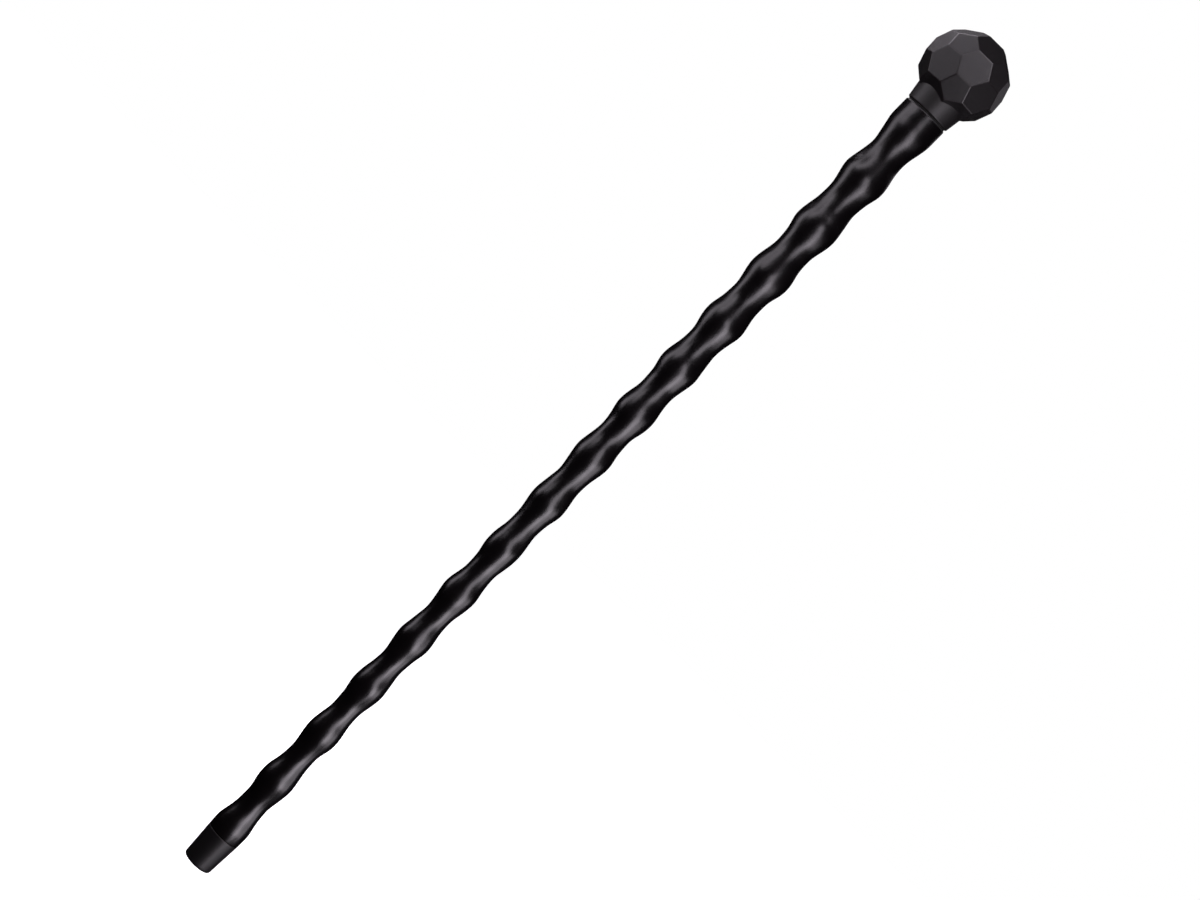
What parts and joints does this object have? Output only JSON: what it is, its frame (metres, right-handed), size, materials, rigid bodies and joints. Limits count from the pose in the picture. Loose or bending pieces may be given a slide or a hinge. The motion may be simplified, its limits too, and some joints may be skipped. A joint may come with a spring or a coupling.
{
  "type": "knobbed walking stick",
  "caption": "Black moulded walking stick with carved-looking waves along its shaft, a faceted ball knob on a conical collar, and a push-on ferrule.",
  "frame": {"origin": "middle of the ferrule's sole, where the stick stands on the ground", "axes": "+Z along the stick's axis, from the foot up to the knob; -Y is the side of the knob that the picture shows"},
  "size_m": [0.0748, 0.0742, 0.94],
  "materials": {
    "knob_plastic": "satin, fine moulded grain on the facets, smoother on the collar",
    "shaft_plastic": "satin, leather-like moulded grain",
    "ferrule_rubber": "smooth, matte",
    "washer_fibre": "matte",
    "insert_brass": "turned",
    "stud_steel": "zinc plated, rolled thread",
    "disc_steel": "pressed from sheet"
  },
  "bodies": {
    "shaft_body": {"shaft": "shaft_plastic", "shaft_insert": "insert_brass", "stud": "stud_steel"},
    "washer_body": {"joint_washer": "washer_fibre"},
    "knob_body": {"knob": "knob_plastic", "knob_insert": "insert_brass"},
    "ferrule_body": {"ferrule": "ferrule_rubber", "ferrule_disc": "disc_steel"}
  },
  "joints": [
    {"name": "knob_rise", "type": "slide", "parent": "shaft_body", "child": "washer_body", "axis": [0, 0, 1], "range_m": [0, 0.0175]},
    {"name": "knob_turn", "type": "hinge", "parent": "washer_body", "child": "knob_body", "pos_m": [0, 0, 0.8614], "axis": [0, 0, 1], "range_deg": [0, 3600]},
    {"name": "ferrule_pull", "type": "slide", "parent": "shaft_body", "child": "ferrule_body", "axis": [0, 0, -1], "range_m": [0, 0.03]}
  ],
  "couplings": [
    {"joint": "knob_rise", "follows": "knob_turn", "m_per_rad": 0.00027852}
  ]
}
